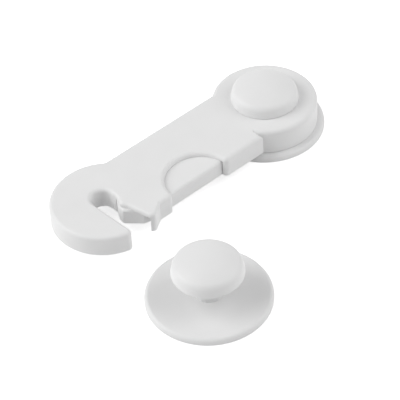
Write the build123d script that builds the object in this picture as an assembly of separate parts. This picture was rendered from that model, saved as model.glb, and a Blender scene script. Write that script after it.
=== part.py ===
from build123d import *
from math import cos, radians, sqrt, tan
import os

# Child safety cabinet lock. Millimetres. The origin is on the pivot axis where the
# adhesive pad meets the door, Z points away from the door, and the arm runs along -X.

# Adhesive bases, two the same
base_radius = 17.5
base_top = 2.0
base_edge_round = 1.2
base_rim = 2.3
pad_thickness = 1.0
pad_recess = 0.8
stem_radius = 2.25
collar_radius = 3.8
collar_height = 1.3
collar_round = 0.3

# Knobs, two the same, pressed on the stems
knob_radius = 10.0
knob_draft = 0.55
knob_height = 5.4
knob_dome = 2.3
knob_shoulder = 2.4
knob_lower_round = 0.15
knob_wall = 1.4
knob_core_depth = 1.7
stem_grip = 2.0

# Where the catch stands from the pivot
catch_along = 59.68
catch_beside = 40.53

# Swivel arm
arm_lift = 1.7
arm_thickness = 6.3
plate = 1.3
wall = 1.8
side_wall = 1.25
head_inset = 2.1
hook_reach = 61.3
hook_swell = 0.1
bar_far = 11.8
bar_near = 12.0
step_depth = 2.5
top_round = 1.2
waist_round = 1.6
pivot_boss_wall = 2.5

# Seat of the hook, where the catch stem rests, and the lips of its mouth
seat_radius = 3.2
seat_forward = 1.0
seat_depth = 2.0
tip_inset = 2.2
tip_round = 1.6
bump_out = 1.25
bump_drop = 5.3
bump_round = 1.6
dip_out = 0.25
dip_drop = 7.0
lip_back = 1.3
lip_round = 1.5
tooth_back = 1.7
tooth_drop = 1.6
tooth_nose_back = 1.2
tooth_nose_drop = 2.4
tooth_round = 1.3
tooth_top_round = 0.9
tooth_length = 4.9
tooth_foot = 3.1

# Thumb scoop in the near edge of the arm
scoop_reach = 36.55
scoop_radius = 9.85
scoop_inset = 0.2
scoop_end_round = 1.4

# Release latch under the plate
latch_hub_radius = 3.1
latch_hub_room = 1.15
latch_hub_rise = 5.4
latch_near_gap = 0.3
latch_cover = 2.75
latch_end_cover = 1.95
latch_end_round = 1.0
latch_edge_round = 0.8
nose_reach = 1.7
nose_lean = 0.3
nose_top_drop = 4.8
nose_low_drop = 6.9
nose_round = 0.7
flank_inset = 0.1
slope_foot = 1.8
slope_foot_rise = 0.45
slope_round = 2.0

# Latch screw and the boss it goes into
boss_radius = 1.6
screw_radius = 0.8
screw_head_radius = 2.2
screw_head_height = 1.1
screw_length = 2.9
slot_width = 0.8
slot_depth = 0.5

# Leaf spring behind the latch
leaf = 0.4
leaf_height = 3.2
leaf_slope = 38.0
leaf_curl = 1.2
leaf_touch = 5.5
leaf_tail = 2.6
leaf_anchor = 5.0
rib = 1.2

# Clearances
pad_clearance = 0.2
run_fit = 0.08
slide = 0.06
knob_float = 0.05
head_float = 0.1
flank_gap = 0.06
screw_head_gap = 0.3
leaf_touch_gap = 0.05

os.makedirs("parts", exist_ok=True)


def turned(section):
    """Solid turned round Z from the edges of its half section."""
    return revolve(Plane.XZ * make_face(section), Axis.Z)


def ring(solid, radius, z):
    """The round edge of a turned solid with a given radius and height."""
    rounds = solid.edges().filter_by(GeomType.CIRCLE)
    return min(rounds, key=lambda e: abs(e.radius - radius) + abs(e.center().Z - z))


def upright(solid, place):
    """The upright edge nearest to a place in plan."""
    edges = solid.edges().filter_by(Axis.Z)
    return min(edges, key=lambda e: (e.center().X - place[0]) ** 2 + (e.center().Y - place[1]) ** 2)


def drum(radius, low, high):
    """Upright cylinder between two heights."""
    return Pos(0, 0, (low + high) / 2) * Cylinder(radius, high - low)


# Heights, from the door outwards
base_bottom = pad_thickness - pad_recess
skirt_bottom = base_top + head_float
collar_top = base_top + collar_height
boss_bottom = collar_top + head_float
arm_bottom = base_top + arm_lift
arm_top = arm_bottom + arm_thickness
plate_under = arm_top - plate
knob_bottom = arm_top + knob_float
stem_top = knob_bottom + stem_grip
knob_top = knob_bottom + knob_height

# Base: a disc with a recess for the pad below, and above it the stem on a low collar
recess_radius = base_radius - base_rim
base_section = Polyline(
    (0, pad_thickness),
    (recess_radius, pad_thickness),
    (recess_radius, base_bottom),
    (base_radius, base_bottom),
    (base_radius, base_top),
    (collar_radius, base_top),
    (collar_radius, collar_top),
    (stem_radius, collar_top),
    (stem_radius, stem_top),
    (0, stem_top),
    close=True,
)
base = turned(base_section)
base = fillet([ring(base, base_radius, base_top)], base_edge_round)
base = fillet([ring(base, collar_radius, collar_top)], collar_round)

# Pad: a foam disc that fills the recess and stands proud of the rim
pad = drum(recess_radius - pad_clearance, 0, pad_thickness)

# Knob: a low domed button, hollow below round its socket
knob_edge = knob_top - knob_dome
knob_edge_radius = knob_radius - knob_draft
socket_radius = stem_radius + knob_wall
core_radius = knob_edge_radius - knob_wall
core_top = knob_bottom + knob_core_depth
dome_radius = (knob_edge_radius**2 + knob_dome**2) / (2 * knob_dome)
dome_half = knob_edge_radius / 2
dome_half_z = knob_top - dome_radius + sqrt(dome_radius**2 - dome_half**2)
knob_section = [
    Polyline(
        (0, knob_top),
        (0, stem_top),
        (stem_radius, stem_top),
        (stem_radius, knob_bottom),
        (socket_radius, knob_bottom),
        (socket_radius, core_top),
        (core_radius, core_top),
        (core_radius, knob_bottom),
        (knob_radius, knob_bottom),
        (knob_edge_radius, knob_edge),
    ),
    ThreePointArc((knob_edge_radius, knob_edge), (dome_half, dome_half_z), (0, knob_top)),
]
knob = turned(knob_section)
knob = fillet([ring(knob, knob_edge_radius, knob_edge)], knob_shoulder)
knob = fillet([ring(knob, knob_radius, knob_bottom)], knob_lower_round)

# Round ends of the arm: the head stands inside the base's edge
head_radius = base_radius - head_inset
hook_radius = head_radius + hook_swell

# Bar, hook and thumb scoop in one outline, from the step beside the head.
# Its right end lies inside the head, clear of the head's rounded edge.
hook_x = -hook_reach
seat_y = seat_forward
seat_left = (hook_x - seat_radius, seat_y)
seat_right = (hook_x + seat_radius, seat_y)
seat_end = (seat_right[0], seat_y - seat_depth)
bump = (seat_right[0] - bump_out, seat_y - bump_drop)
dip = (seat_right[0] - dip_out, seat_y - dip_drop)
lip_end = (seat_right[0] + lip_back, -bar_near)
hook_waist = (hook_x + sqrt(hook_radius**2 - bar_far**2), bar_far)
tip = (hook_x - tip_inset, -sqrt(hook_radius**2 - tip_inset**2))
head_flat = head_radius - top_round
step_x = -sqrt(head_radius**2 - (bar_near - step_depth) ** 2)
step_out = (step_x, -bar_near)
step_in = (step_x, -sqrt(head_flat**2 - step_x**2))
bar_end = (-sqrt(head_flat**2 - bar_far**2), bar_far)
scoop_x = -scoop_reach
scoop_y = scoop_inset - bar_near
scoop_half = sqrt(scoop_radius**2 - scoop_inset**2)
scoop_left = (scoop_x - scoop_half, -bar_near)
scoop_right = (scoop_x + scoop_half, -bar_near)
outline = [
    Polyline(step_out, step_in, (bar_end[0], 0), bar_end, hook_waist),
    ThreePointArc(hook_waist, (hook_x - hook_radius, 0), tip),
    Line(tip, seat_left),
    ThreePointArc(seat_left, (hook_x, seat_y + seat_radius), seat_right),
    Polyline(seat_right, seat_end, bump, dip, lip_end, scoop_left),
    ThreePointArc(scoop_left, (scoop_x, scoop_y + scoop_radius), scoop_right),
    Line(scoop_right, step_out),
]
arm = extrude(Pos(0, 0, arm_bottom) * make_face(outline), arm_thickness)
arm_rounds = [
    (hook_waist, waist_round),
    (tip, tip_round),
    (seat_end, lip_round),
    (bump, bump_round),
    (dip, lip_round),
    (scoop_left, scoop_end_round),
    (scoop_right, scoop_end_round),
]
for place, radius in arm_rounds:
    arm = fillet([upright(arm, place)], radius)
top_edges = arm.faces().sort_by(Axis.Z)[-1].outer_wire().edges()
arm = fillet([e for e in top_edges if (e.center().X**2 + e.center().Y**2) > head_flat**2], top_round)

# Tooth at the near lip of the mouth
tooth = (seat_right[0] + tooth_back, -bar_near - tooth_drop)
tooth_nose = (tooth[0] + tooth_nose_back, -bar_near - tooth_nose_drop)
tooth_root = (tooth[0] + tooth_length, -bar_near)
tooth_plan = Polyline(
    tooth,
    tooth_nose,
    tooth_root,
    (tooth_root[0], top_round - bar_near),
    (lip_end[0], top_round - bar_near),
    lip_end,
    close=True,
)
block = extrude(Pos(0, 0, arm_bottom) * make_face(tooth_plan), arm_thickness)
block = fillet([upright(block, tooth), upright(block, tooth_nose)], tooth_round)
block_edges = block.faces().sort_by(Axis.Z)[-1].outer_wire().edges()
block = fillet([e for e in block_edges if e.center().Y < -bar_near], tooth_top_round)
arm += block

# The head is a cup that turns on the pivot base, with a boss round the stem
head = drum(head_radius, skirt_bottom, arm_top)
arm += fillet([ring(head, head_radius, arm_top)], top_round)
arm -= drum(head_radius - wall, skirt_bottom, plate_under)
bore_radius = stem_radius + run_fit
arm += drum(bore_radius + pivot_boss_wall, boss_bottom, plate_under)
arm -= drum(bore_radius, skirt_bottom, arm_top)

# The bar is hollow from below, and opens to the mouth of the hook beside the tooth
hollow_left = seat_right[0] + wall
hollow_right = -head_radius - wall
hollow_far = bar_far - wall
hollow_near = side_wall - bar_near
hollow_plan = Polyline(
    (hollow_left, hollow_far),
    (hollow_left, seat_end[1]),
    (hook_x, seat_end[1]),
    (hook_x, tooth[1]),
    tooth,
    (tooth[0] + tooth_foot, hollow_near),
    (hollow_right, hollow_near),
    (hollow_right, hollow_far),
    close=True,
)
arm -= extrude(Pos(0, 0, arm_bottom) * make_face(hollow_plan), plate_under - arm_bottom)

# Boss for the latch screw
latch_back = scoop_y + scoop_radius + latch_cover
latch_pivot_x = hollow_left + latch_hub_room + latch_hub_radius
latch_pivot = Pos(latch_pivot_x, latch_back + latch_hub_rise, 0)
head_bottom = arm_bottom + slide
boss_end = head_bottom + screw_head_height
arm += latch_pivot * drum(boss_radius, boss_end, plate_under)
arm -= latch_pivot * drum(screw_radius, boss_end, boss_end + screw_length)

# Rib that holds the fixed end of the leaf spring against the far wall
latch_end = scoop_x + scoop_radius + latch_end_cover
touch_x = latch_end - leaf_touch
touch_y = latch_back + leaf_touch_gap + leaf / 2
bend_y = touch_y - leaf_curl * (1 / cos(radians(leaf_slope)) - 1)
leaf_y = hollow_far - leaf / 2
rise = tan(radians(leaf_slope))
fold_x = touch_x - (leaf_y - bend_y) / rise
anchor_x = fold_x - leaf_anchor
leaf_bottom = (arm_bottom + plate_under - leaf_height) / 2
rib_length = leaf_anchor - leaf_curl
rib_y = hollow_far - leaf - rib / 2
rib_height = plate_under - leaf_bottom
rib_place = Pos(anchor_x + rib_length / 2, rib_y, leaf_bottom + rib_height / 2)
arm += rib_place * Box(rib_length, rib, rib_height)

# Leaf spring: a bent steel strip, one end behind the rib, the other on the latch
leaf_path = FilletPolyline(
    (anchor_x, leaf_y),
    (fold_x, leaf_y),
    (touch_x, bend_y),
    (touch_x + leaf_tail, bend_y + leaf_tail * rise),
    radius=leaf_curl,
)
spring = extrude(Pos(0, 0, leaf_bottom) * trace(leaf_path, leaf), leaf_height)

# Release latch: nose, thumb pad and hub in one plate
latch_bottom = arm_bottom + slide
latch_top = plate_under - slide
latch_near = hollow_near + latch_near_gap
flank_y = seat_end[1] - flank_gap
nose_top = (seat_right[0] - nose_reach + nose_lean, seat_y - nose_top_drop)
nose_low = (seat_right[0] - nose_reach, seat_y - nose_low_drop)
slope_end_y = latch_near + slope_foot_rise
slope_end = (nose_low[0] + nose_low[1] - slope_end_y, slope_end_y)
slope_near = (slope_end[0] + slope_foot, latch_near)
latch_turn = (latch_end, latch_back)
hub_right = latch_pivot_x + latch_hub_radius
hub_left = latch_pivot_x - latch_hub_radius
hub_y = latch_back + latch_hub_rise
latch_plan = Polyline(
    (seat_right[0] + flank_inset, flank_y),
    nose_top,
    nose_low,
    slope_end,
    slope_near,
    (latch_end, latch_near),
    latch_turn,
    (hub_right, latch_back),
    (hub_right, hub_y),
    (hub_left, hub_y),
    (hub_left, flank_y),
    close=True,
)
latch = extrude(Pos(0, 0, latch_bottom) * make_face(latch_plan), latch_top - latch_bottom)
latch_rounds = [
    (nose_top, nose_round),
    (nose_low, nose_round),
    (slope_near, slope_round),
    (latch_turn, latch_end_round),
]
for place, radius in latch_rounds:
    latch = fillet([upright(latch, place)], radius)
rubbed = [e for e in latch.faces().sort_by(Axis.Z)[-1].edges() if e.center().Y < flank_y - nose_round]
rubbed = [e for e in rubbed if e.center().X < latch_end - latch_end_round]
latch = fillet(rubbed, latch_edge_round)
latch += latch_pivot * drum(latch_hub_radius, latch_bottom, latch_top)
latch -= latch_pivot * drum(boss_radius + run_fit, latch_bottom, latch_top)
latch -= latch_pivot * drum(screw_head_radius + screw_head_gap, latch_bottom, boss_end + slide)

# Latch screw: a slotted pan head that holds the latch on its boss
screw = latch_pivot * drum(screw_head_radius, head_bottom, boss_end)
screw += latch_pivot * drum(screw_radius, boss_end, boss_end + screw_length)
slot_middle = latch_pivot * Pos(0, 0, head_bottom + slot_depth / 2)
screw -= slot_middle * Box(2 * screw_head_radius, slot_width, slot_depth)

catch = Pos(-catch_along, -catch_beside, 0)
pieces = {
    "swivel_arm": arm,
    "release_latch": latch,
    "latch_screw": screw,
    "latch_spring": spring,
    "pivot_base": base,
    "pivot_knob": knob,
    "pivot_adhesive_pad": pad,
    "catch_base": catch * base,
    "catch_knob": catch * knob,
    "catch_adhesive_pad": catch * pad,
}
for name, solid in pieces.items():
    export_step(solid, "parts/" + name + ".step")
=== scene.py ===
import bmesh
import bpy
from mathutils import Matrix, Vector


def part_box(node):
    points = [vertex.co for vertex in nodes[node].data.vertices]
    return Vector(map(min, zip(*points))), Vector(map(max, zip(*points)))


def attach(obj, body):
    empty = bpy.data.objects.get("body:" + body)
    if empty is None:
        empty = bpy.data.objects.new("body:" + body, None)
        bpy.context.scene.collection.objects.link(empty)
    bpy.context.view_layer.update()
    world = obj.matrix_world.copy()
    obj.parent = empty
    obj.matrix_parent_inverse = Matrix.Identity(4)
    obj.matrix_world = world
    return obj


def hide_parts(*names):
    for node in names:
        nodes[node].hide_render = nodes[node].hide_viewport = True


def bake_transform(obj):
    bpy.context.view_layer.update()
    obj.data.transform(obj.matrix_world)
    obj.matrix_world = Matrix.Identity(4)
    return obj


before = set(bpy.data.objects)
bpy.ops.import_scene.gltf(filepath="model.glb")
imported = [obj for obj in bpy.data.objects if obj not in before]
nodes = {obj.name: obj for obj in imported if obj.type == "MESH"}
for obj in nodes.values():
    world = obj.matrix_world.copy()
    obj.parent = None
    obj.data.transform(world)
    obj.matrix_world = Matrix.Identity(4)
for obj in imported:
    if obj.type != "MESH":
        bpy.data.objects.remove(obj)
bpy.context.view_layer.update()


# Adhesive pads: two discs die-cut from white closed-cell polyethylene foam tape.
# Each is pressed up into the recess of its base, stands a little proud of the rim
# and meets the door with its lower face. The punch leaves the cut edge slightly rounded.
MM = 0.001
PAD_SIDES = 96
PUNCHED_EDGE = 0.25 * MM
PUNCHED_EDGE_STEPS = 4
FOAM_WHITE = "#EBEAE5"
FOAM_SHADE = "#DDDCD6"
FOAM_MOTTLE_MM = 4.0
FOAM_MOTTLE_DETAIL = 3.0
FOAM_CELL_MM = 0.5
FOAM_PIT_DEPTH = 0.08 * MM
FOAM_PIT_STRENGTH = 0.4
FOAM_ROUGHNESS = 0.85
FOAM_IOR = 1.45


def linear(hex_colour):
    """sRGB hex to the linear colour that a shader socket takes."""
    channels = [int(hex_colour[i:i + 2], 16) / 255 for i in (1, 3, 5)]
    curved = [c / 12.92 if c <= 0.04045 else ((c + 0.055) / 1.055) ** 2.4 for c in channels]
    return (*curved, 1.0)


def add_node(tree, kind, settings=None, values=None, links=None):
    """A node with its settings, its socket values and the sockets that feed it."""
    made = tree.nodes.new(kind)
    for name, setting in (settings or {}).items():
        setattr(made, name, setting)
    for socket, value in (values or {}).items():
        made.inputs[socket].default_value = value
    for socket, source in (links or {}).items():
        tree.links.new(source, made.inputs[socket])
    return made


def empty_material(name):
    """A material with nothing in it but its output, which the last shader is linked to."""
    made = bpy.data.materials.new(name)
    made.use_nodes = True
    made.node_tree.nodes.clear()
    return made, made.node_tree, made.node_tree.nodes.new("ShaderNodeOutputMaterial")


def finished_piece(name, bm, material):
    """An object at the origin from a bmesh that is done, with its material."""
    mesh = bpy.data.meshes.new(name)
    bm.to_mesh(mesh)
    bm.free()
    mesh.materials.append(material)
    made = bpy.data.objects.new(name, mesh)
    bpy.context.collection.objects.link(made)
    return made


# Foam tape: dull warm white, with its cut cells as shallow pits and a faint mottle between them.
# The cells of the real tape are a third of this size and wouldn't show.
foam_tape, tree, output = empty_material("closed_cell_foam_tape")
place = add_node(tree, "ShaderNodeTexCoord")
mottle = add_node(tree, "ShaderNodeTexNoise",
                  values={"Scale": 1 / (FOAM_MOTTLE_MM * MM), "Detail": FOAM_MOTTLE_DETAIL},
                  links={"Vector": place.outputs["Object"]})
tint = add_node(tree, "ShaderNodeMix", settings={"data_type": "RGBA"},
                values={"A": linear(FOAM_WHITE), "B": linear(FOAM_SHADE)},
                links={"Factor": mottle.outputs["Fac"]})
cells = add_node(tree, "ShaderNodeTexVoronoi", values={"Scale": 1 / (FOAM_CELL_MM * MM)},
                 links={"Vector": place.outputs["Object"]})
pits = add_node(tree, "ShaderNodeBump",
                values={"Strength": FOAM_PIT_STRENGTH, "Distance": FOAM_PIT_DEPTH},
                links={"Height": cells.outputs["Distance"]})
foam = add_node(tree, "ShaderNodeBsdfPrincipled",
                values={"Roughness": FOAM_ROUGHNESS, "IOR": FOAM_IOR},
                links={"Base Color": tint.outputs["Result"], "Normal": pits.outputs["Normal"]})
tree.links.new(foam.outputs["BSDF"], output.inputs["Surface"])

for pad_node in ("pivot_adhesive_pad", "catch_adhesive_pad"):
    low, high = (Vector(corner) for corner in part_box(pad_node))
    bm = bmesh.new()
    bmesh.ops.create_circle(bm, cap_ends=True, segments=PAD_SIDES, radius=(high.x - low.x) / 2)
    grown = bmesh.ops.extrude_face_region(bm, geom=bm.faces[:])
    upper = [v for v in grown["geom"] if isinstance(v, bmesh.types.BMVert)]
    bmesh.ops.translate(bm, verts=upper, vec=(0, 0, high.z - low.z))
    bmesh.ops.recalc_face_normals(bm, faces=bm.faces)
    rims = [e for e in bm.edges if e.verts[0].co.z == e.verts[1].co.z]
    bmesh.ops.bevel(bm, geom=rims, offset=PUNCHED_EDGE, segments=PUNCHED_EDGE_STEPS, profile=0.5,
                    affect="EDGES", material=-1)
    bmesh.ops.translate(bm, verts=bm.verts,
                        vec=((low.x + high.x) / 2, (low.y + high.y) / 2, low.z))
    pad = finished_piece(pad_node + "_foam", bm, foam_tape)
    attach(pad, "bases")
    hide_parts(pad_node)


# Bases: two thin discs with a stem on a low collar, injection-moulded in one piece of white ABS.
# They come out of a satin mould. One is stuck to the door under the arm,
# and the other, the catch, to the next door.
ABS_WHITE = "#EDEDED"
ABS_CLOUD = "#E8E8E8"
ABS_IOR = 1.53
CLOUD_MM = 9.0
CLOUD_DETAIL = 3.0
GRAIN_MM = 0.35
GRAIN_DETAIL = 2.0
GRAIN_DEPTH = 0.02 * MM
SATIN_ROUGHNESS = 0.5
SATIN_GRAIN = 0.06


# White ABS: a clean neutral white with a soft satin highlight, a trace of cloudiness from the flow
# of the melt, and the fine grain of the mould, drawn about three times too coarse so that it shows.
def moulded_abs(name, roughness, grain_strength):
    made, tree, output = empty_material(name)
    place = add_node(tree, "ShaderNodeTexCoord")
    cloud = add_node(tree, "ShaderNodeTexNoise",
                     values={"Scale": 1 / (CLOUD_MM * MM), "Detail": CLOUD_DETAIL},
                     links={"Vector": place.outputs["Object"]})
    tint = add_node(tree, "ShaderNodeMix", settings={"data_type": "RGBA"},
                    values={"A": linear(ABS_WHITE), "B": linear(ABS_CLOUD)},
                    links={"Factor": cloud.outputs["Fac"]})
    grain = add_node(tree, "ShaderNodeTexNoise",
                     values={"Scale": 1 / (GRAIN_MM * MM), "Detail": GRAIN_DETAIL},
                     links={"Vector": place.outputs["Object"]})
    skin = add_node(tree, "ShaderNodeBump",
                    values={"Strength": grain_strength, "Distance": GRAIN_DEPTH},
                    links={"Height": grain.outputs["Fac"]})
    plastic = add_node(tree, "ShaderNodeBsdfPrincipled",
                       values={"Roughness": roughness, "IOR": ABS_IOR},
                       links={"Base Color": tint.outputs["Result"],
                              "Normal": skin.outputs["Normal"]})
    tree.links.new(plastic.outputs["BSDF"], output.inputs["Surface"])
    return made


def dress(node_name, material):
    """Give a CAD node its finish."""
    nodes[node_name].data.materials.clear()
    nodes[node_name].data.materials.append(material)


satin_abs = moulded_abs("satin_moulded_white_abs", SATIN_ROUGHNESS, SATIN_GRAIN)
for base_node in ("pivot_base", "catch_base"):
    dress(base_node, satin_abs)


# Swivel arm: one moulding of the same ABS, hollow from below, with the head, the bar,
# the hook and the thumb scoop. Its head turns on the stem of the pivot base.
dress("swivel_arm", satin_abs)


# Release latch: a second moulding of the same ABS that lies in the hollow of the arm.
# The thumb rubs it in the scoop and the catch rubs its nose, so it is a shade smoother.
RUBBED_ROUGHNESS = 0.45
RUBBED_GRAIN = 0.04
rubbed_abs = moulded_abs("rubbed_moulded_white_abs", RUBBED_ROUGHNESS, RUBBED_GRAIN)
dress("release_latch", rubbed_abs)


# Latch screw: a slotted pan-head screw of cold-headed steel, zinc-plated and bright.
# It goes up through the latch into a boss of the arm.
ZINC_GREY = "#C8CACD"
ZINC_BLOOM = "#B9BDC3"
ZINC_ROUGHNESS = 0.32
BLOOM_MM = 1.2
BLOOM_DETAIL = 4.0

# Zinc plate: a cool bright grey with a soft gleam and a faint duller bloom.
zinc, tree, output = empty_material("zinc_plated_steel")
place = add_node(tree, "ShaderNodeTexCoord")
bloom = add_node(tree, "ShaderNodeTexNoise",
                 values={"Scale": 1 / (BLOOM_MM * MM), "Detail": BLOOM_DETAIL},
                 links={"Vector": place.outputs["Object"]})
tint = add_node(tree, "ShaderNodeMix", settings={"data_type": "RGBA"},
                values={"A": linear(ZINC_GREY), "B": linear(ZINC_BLOOM)},
                links={"Factor": bloom.outputs["Fac"]})
metal = add_node(tree, "ShaderNodeBsdfPrincipled",
                 values={"Metallic": 1.0, "Roughness": ZINC_ROUGHNESS},
                 links={"Base Color": tint.outputs["Result"]})
tree.links.new(metal.outputs["BSDF"], output.inputs["Surface"])
dress("latch_screw", zinc)


# Latch spring: a bent strip of rolled spring steel, held at one end between a rib and the far wall
# of the arm. Its free end lies on the latch and goes back with it, so the strip bends between.
BEND_STEPS = 24
WELD = 0.002 * MM
SHARP_EDGE = 0.5  # radians
SPRING_GREY = "#A9ABAE"
SPRING_ROUGHNESS = 0.28
ROLLING_MM = 0.25
ROLLING_DETAIL = 2.0
ROLLING_STRETCH = 20
ROLLING_DEPTH = 0.01 * MM
ROLLING_STRENGTH = 0.2

# Rolled steel: a darker bare metal with lines drawn out along the strip by the rollers.
# The real lines are several times finer and wouldn't show.
rolled_steel, tree, output = empty_material("rolled_spring_steel")
place = add_node(tree, "ShaderNodeTexCoord")
along = add_node(tree, "ShaderNodeMapping",
                 values={"Scale": (1 / ROLLING_STRETCH, 1 / ROLLING_STRETCH, 1.0)},
                 links={"Vector": place.outputs["Object"]})
lines = add_node(tree, "ShaderNodeTexNoise",
                 values={"Scale": 1 / (ROLLING_MM * MM), "Detail": ROLLING_DETAIL},
                 links={"Vector": along.outputs["Vector"]})
scored = add_node(tree, "ShaderNodeBump",
                  values={"Strength": ROLLING_STRENGTH, "Distance": ROLLING_DEPTH},
                  links={"Height": lines.outputs["Fac"]})
metal = add_node(tree, "ShaderNodeBsdfPrincipled",
                 values={"Base Color": linear(SPRING_GREY), "Metallic": 1.0,
                         "Roughness": SPRING_ROUGHNESS},
                 links={"Normal": scored.outputs["Normal"]})
tree.links.new(metal.outputs["BSDF"], output.inputs["Surface"])

# The strip is a welded copy of its node, cut across in steps so that it can bend.
low, high = (Vector(corner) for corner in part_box("latch_spring"))
bm = bmesh.new()
bm.from_mesh(nodes["latch_spring"].data)
bmesh.ops.remove_doubles(bm, verts=bm.verts, dist=WELD)
for step in range(1, BEND_STEPS):
    bmesh.ops.bisect_plane(bm, geom=bm.verts[:] + bm.edges[:] + bm.faces[:],
                           plane_co=low.lerp(high, step / BEND_STEPS), plane_no=(1, 0, 0))
for edge in bm.edges:
    edge.smooth = edge.calc_face_angle(0) < SHARP_EDGE
for face in bm.faces:
    face.smooth = True
leaf = finished_piece("latch_spring_leaf", bm, rolled_steel)
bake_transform(leaf)
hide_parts("latch_spring")


# Knobs: two domed buttons of the same ABS, pressed on the ends of the stems.
# One keeps the arm on its base, and the hook goes in under the other.
SMOOTH_ROUGHNESS = 0.47
SMOOTH_GRAIN = 0.03
smooth_abs = moulded_abs("smooth_moulded_white_abs", SMOOTH_ROUGHNESS, SMOOTH_GRAIN)
for knob_node in ("pivot_knob", "catch_knob"):
    dress(knob_node, smooth_abs)


# Studio: a white paper floor under the lock, a pale room round it, a large softbox at the left
# and a weaker one at the right. Seen by the camera, or in a reflection, floor and room are white.
FLOOR_SIZE = 6.0
PAPER_WHITE = "#F2F2F2"
PAPER_GLOW = 0.62
ROOM_WHITE = "#FFFFFF"
ROOM_LEVEL = 0.376
BACKDROP_LEVEL = 1.0
SHOT_CENTRE = Vector((-0.036, -0.015, 0.0))
SOFTBOX_SIZE = 0.9
SOFTBOXES = {  # place from the centre of the shot, and power in watts
    "left_softbox": (Vector((-0.601, 0.510, 0.616)), 6.3),
    "right_softbox": (Vector((0.601, -0.510, 0.616)), 3.9),
}


def seen_or_mirrored(tree):
    """1 on camera, glossy and transmission rays, else 0."""
    path = add_node(tree, "ShaderNodeLightPath")
    total = path.outputs["Is Camera Ray"]
    for ray in ("Is Glossy Ray", "Is Transmission Ray"):
        both = add_node(tree, "ShaderNodeMath", settings={"operation": "MAXIMUM"},
                        links={0: total, 1: path.outputs[ray]})
        total = both.outputs[0]
    return total


# White paper: dead matte, and bright enough to the eye that only soft shadows show on it.
paper, tree, output = empty_material("white_paper_sweep")
matte = add_node(tree, "ShaderNodeBsdfDiffuse", values={"Color": linear(PAPER_WHITE)})
glow = add_node(tree, "ShaderNodeEmission", values={"Strength": PAPER_GLOW})
lit = add_node(tree, "ShaderNodeAddShader", links={0: matte.outputs[0], 1: glow.outputs[0]})
paper_mix = add_node(tree, "ShaderNodeMixShader",
                     links={"Fac": seen_or_mirrored(tree), 1: matte.outputs[0], 2: lit.outputs[0]})
tree.links.new(paper_mix.outputs[0], output.inputs["Surface"])

bm = bmesh.new()
bmesh.ops.create_grid(bm, x_segments=1, y_segments=1, size=FLOOR_SIZE / 2)
floor = finished_piece("studio_floor", bm, paper)

room = bpy.data.worlds.new("studio_room")
bpy.context.scene.world = room
room.use_nodes = True
tree = room.node_tree
tree.nodes.clear()
output = tree.nodes.new("ShaderNodeOutputWorld")
ambient = add_node(tree, "ShaderNodeBackground",
                   values={"Color": linear(ROOM_WHITE), "Strength": ROOM_LEVEL})
backdrop = add_node(tree, "ShaderNodeBackground",
                    values={"Color": linear(ROOM_WHITE), "Strength": BACKDROP_LEVEL})
room_mix = add_node(tree, "ShaderNodeMixShader",
                    links={"Fac": seen_or_mirrored(tree), 1: ambient.outputs[0],
                           2: backdrop.outputs[0]})
tree.links.new(room_mix.outputs[0], output.inputs["Surface"])

for name, (offset, power) in SOFTBOXES.items():
    lamp = bpy.data.lights.new(name, "AREA")
    lamp.shape = "DISK"
    lamp.size = SOFTBOX_SIZE
    lamp.energy = power
    softbox = bpy.data.objects.new(name, lamp)
    softbox.location = SHOT_CENTRE + offset
    softbox.rotation_euler = (-offset).to_track_quat("-Z", "Y").to_euler()
    bpy.context.collection.objects.link(softbox)


# Camera: a long lens above the catch, where the photograph was taken from,
# turned a little about its own axis as the photograph is.
CAMERA_PLACE = Vector((-0.2824, -0.3015, 0.3632))
CAMERA_AIM = Vector((-0.0359, -0.0108, 0.0))
CAMERA_ROLL = -0.053  # radians
LENS_MM = 167.36
SENSOR_MM = 36.0
lens = bpy.data.cameras.new("photo_camera")
lens.lens = LENS_MM
lens.sensor_width = SENSOR_MM
camera = bpy.data.objects.new("photo_camera", lens)
camera.location = CAMERA_PLACE
aim = (CAMERA_AIM - CAMERA_PLACE).to_track_quat("-Z", "Y").to_matrix().to_4x4()
camera.rotation_euler = (aim @ Matrix.Rotation(CAMERA_ROLL, 4, "Z")).to_euler()
bpy.context.collection.objects.link(camera)
bpy.context.scene.camera = camera
bpy.context.scene.view_settings.view_transform = "Standard"
